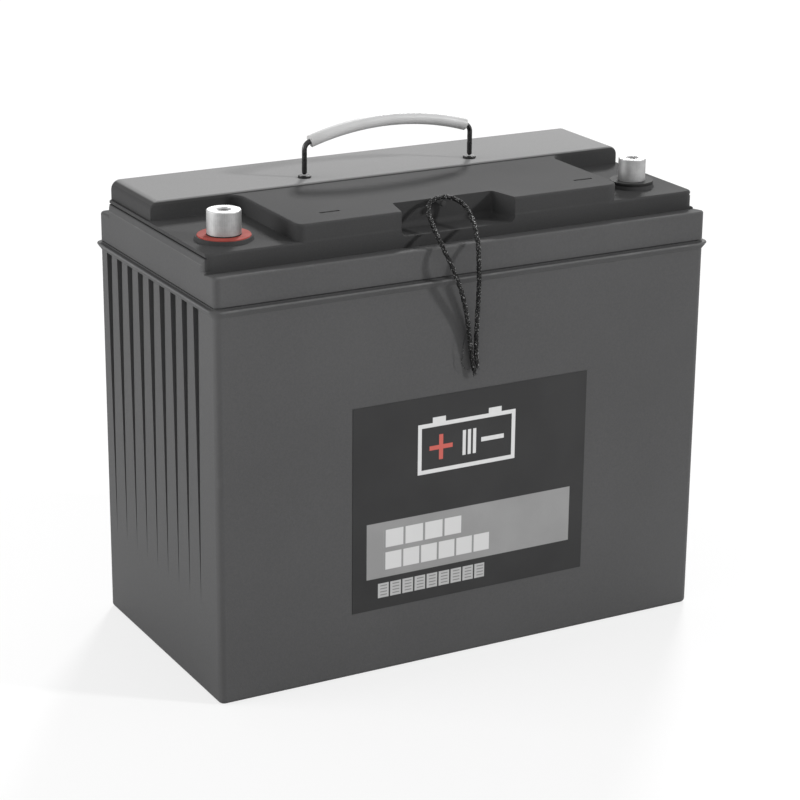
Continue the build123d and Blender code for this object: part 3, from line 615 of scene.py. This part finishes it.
# The grey band with two rows of blocks on it, and the row of small symbols below.
band = bar(9.5, 153.0, 20.3, 56.2)
tiles = bar(17.0, 92.0, 7.2, 16.6)
cell = ((u - 17.0) / 8.45).math("FRACT")
tile = tiles * cell.step(0.03, 0.06) * cell.step(0.94, 0.90)
mark = cell.step(0.2, 0.26) * cell.step(0.82, 0.76) * near(((v - 12.0) / 2.0).math("FRACT"), 0.5, 0.3)
blocks = bar(21.0, 75.0, 39.5, 50.8) * ((u - 21.0) / 13.6).math("FRACT").step(0.10, 0.12)
blocks = blocks + bar(21.0, 95.0, 25.0, 36.3) * ((u - 21.0) / 12.35).math("FRACT").step(0.10, 0.12)
film_tone = noise(place, 30.0, 4.0)
ink = film_tone.step(0.3, 0.75).mix((0.016, 0.016, 0.0165), (0.022, 0.022, 0.0225))
ink = band.mix(ink, film_tone.step(0.3, 0.75).mix((0.235, 0.235, 0.235), (0.265, 0.265, 0.265)))
ink = blocks.math("MINIMUM", 1.0).mix(ink, (0.56, 0.56, 0.56))
ink = (tile * (1.0 - mark * 0.65)).mix(ink, (0.40, 0.40, 0.40))
ink = symbol.math("MINIMUM", 1.0).mix(ink, (0.60, 0.60, 0.60))
ink = plus.mix(ink, (0.48, 0.10, 0.08))
stretched = place.node("ShaderNodeMapping", (), {"Vector": place, "Scale": (30.0, 1.0, 900.0)})
scratch = noise(stretched, 3.0, 3.0)
give(
    finish(
        height=noise(place, 700.0, 2.0) * 0.5 + scratch * 0.2,
        distance=0.00003,
        Base_Color=ink,
        Roughness=0.4 + 0.2 * film_tone + 0.08 * scratch,
    ),
    nodes["front_label"],
)

# ---- Cell groups
# Six cells, each with pasted lead grids, mats of glass fibre wrapped round the positive plates and
# cast lead straps. Short lead links join the straps through the partitions.


def pasted_plate(name, paste, lead):
    """Paste between the bars of a cast grid, which stand a little proud every 7 mm across and 11 mm down."""
    place, x, y, z, finish = material(name)
    across = ((y * 1000.0) / 7.0).math("FRACT")
    down = ((z * 1000.0) / 11.0).math("FRACT")
    bars = (near(across, 0.5, 0.12) + near(down, 0.5, 0.08)).math("MINIMUM", 1.0)
    crumb = noise(place, 520.0, 5.0)
    tone = crumb.mix(paste, tuple(1.7 * c for c in paste))
    return finish(
        height=bars * 0.8 + crumb * 0.5,
        distance=0.0003,
        Base_Color=(bars * 0.5).mix(tone, lead),
        Roughness=0.85 - 0.2 * bars,
    )


positive_paste = pasted_plate("positive_paste", (0.055, 0.022, 0.012), (0.16, 0.15, 0.15))
negative_paste = pasted_plate("negative_paste", (0.10, 0.105, 0.11), (0.22, 0.22, 0.23))

place, x, y, z, finish = material("glass_mat", Roughness=0.95)
stretched = place.node("ShaderNodeMapping", (), {"Vector": place, "Scale": (1.0, 6.0, 1.0)})
strands = noise(stretched, 900.0, 4.0)
glass_mat = finish(
    height=strands, distance=0.0004, Base_Color=strands.mix((0.62, 0.62, 0.6), (0.85, 0.85, 0.82))
)

place, x, y, z, finish = material("cast_lead", Metallic=0.8)
skin = noise(place, 240.0, 5.0)
cast_lead = finish(
    height=skin,
    distance=0.0004,
    Base_Color=skin.mix((0.16, 0.165, 0.175), (0.34, 0.345, 0.36)),
    Roughness=0.5 + 0.3 * skin,
)
give(cast_lead, nodes["intercell_links"])
cell_looks = {
    "positive_plates": positive_paste,
    "negative_plates": negative_paste,
    "glass_mats": glass_mat,
    "straps": cast_lead,
}
for number in range(1, 7):
    for kind, look in cell_looks.items():
        give(look, nodes[f"cell_{number}_{kind}"])

# ---- Floor, light and world
# A pale floor that keeps a soft shadow, in an even white room. A broad lamp stands to the left, and
# two distant ones shine from the right front and from over the right back corner.
FLOOR_REACH = 6.0
FLOOR_GLOW = 0.72
ROOM_FILL = 0.55
floor_mesh = bpy.data.meshes.new("floor")
floor_corners = [(FLOOR_REACH * i, FLOOR_REACH * j, 0.0) for i, j in ((-1, -1), (1, -1), (1, 1), (-1, 1))]
floor_mesh.from_pydata(floor_corners, [], [(0, 1, 2, 3)])
floor = bpy.data.objects.new("floor", floor_mesh)
bpy.context.scene.collection.objects.link(floor)
floor_material = bpy.data.materials.new("floor_white")
floor_material.use_nodes = True
tree = floor_material.node_tree
start = Node_value(tree, None)
paths = tree.nodes.new("ShaderNodeLightPath")
seen = Node_value(tree, paths.outputs["Is Camera Ray"])
glow = start.node("ShaderNodeEmission", (), {"Color": (1.0, 1.0, 1.0, 1.0), "Strength": 1.0})
shader = tree.nodes["Principled BSDF"]
shader.inputs["Base Color"].default_value = (0.86, 0.86, 0.86, 1.0)
shader.inputs["Roughness"].default_value = 0.9
plain = Node_value(tree, shader.outputs[0])
blended = start.node("ShaderNodeMixShader", (), {0: seen * FLOOR_GLOW, 1: plain, 2: glow})
tree.links.new(blended.socket, tree.nodes["Material Output"].inputs["Surface"])
floor_mesh.materials.append(floor_material)

world = bpy.data.worlds.new("studio")
bpy.context.scene.world = world
world.use_nodes = True
tree = world.node_tree
paths = tree.nodes.new("ShaderNodeLightPath")
seen = Node_value(tree, paths.outputs["Is Camera Ray"])
for ray in ("Is Glossy Ray", "Is Transmission Ray"):
    seen = seen.math("MAXIMUM", Node_value(tree, paths.outputs[ray]))
background = tree.nodes["Background"]
background.inputs["Color"].default_value = (1.0, 1.0, 1.0, 1.0)
strength = seen * (1.0 - ROOM_FILL) + ROOM_FILL
tree.links.new(strength.socket, background.inputs["Strength"])


def lamp(name, kind, place, spread, power):
    """A lamp aimed at the middle of the case: a square with that side, or a sun that spreads by that angle."""
    data = bpy.data.lights.new(name, kind)
    if kind == "SUN":
        data.angle = spread
    else:
        data.size = spread
    data.energy = power
    made = bpy.data.objects.new(name, data)
    made.location = place
    x, y, z = np.array(place) - np.array((0.0, 0.0, 0.2))
    made.rotation_euler = (math.atan2(math.hypot(x, y), z), 0.0, math.atan2(y, x) + math.pi / 2)
    bpy.context.scene.collection.objects.link(made)


lamp("left_lamp", "AREA", (-2.3, 0.8, 0.9), 1.4, 38.0)
lamp("front_lamp", "SUN", (2.0, -1.56, 1.4), 0.09, 2.0)
lamp("back_lamp", "SUN", (1.5, 1.9, 1.7), 0.2, 2.3)

bpy.context.scene.view_settings.view_transform = "Standard"
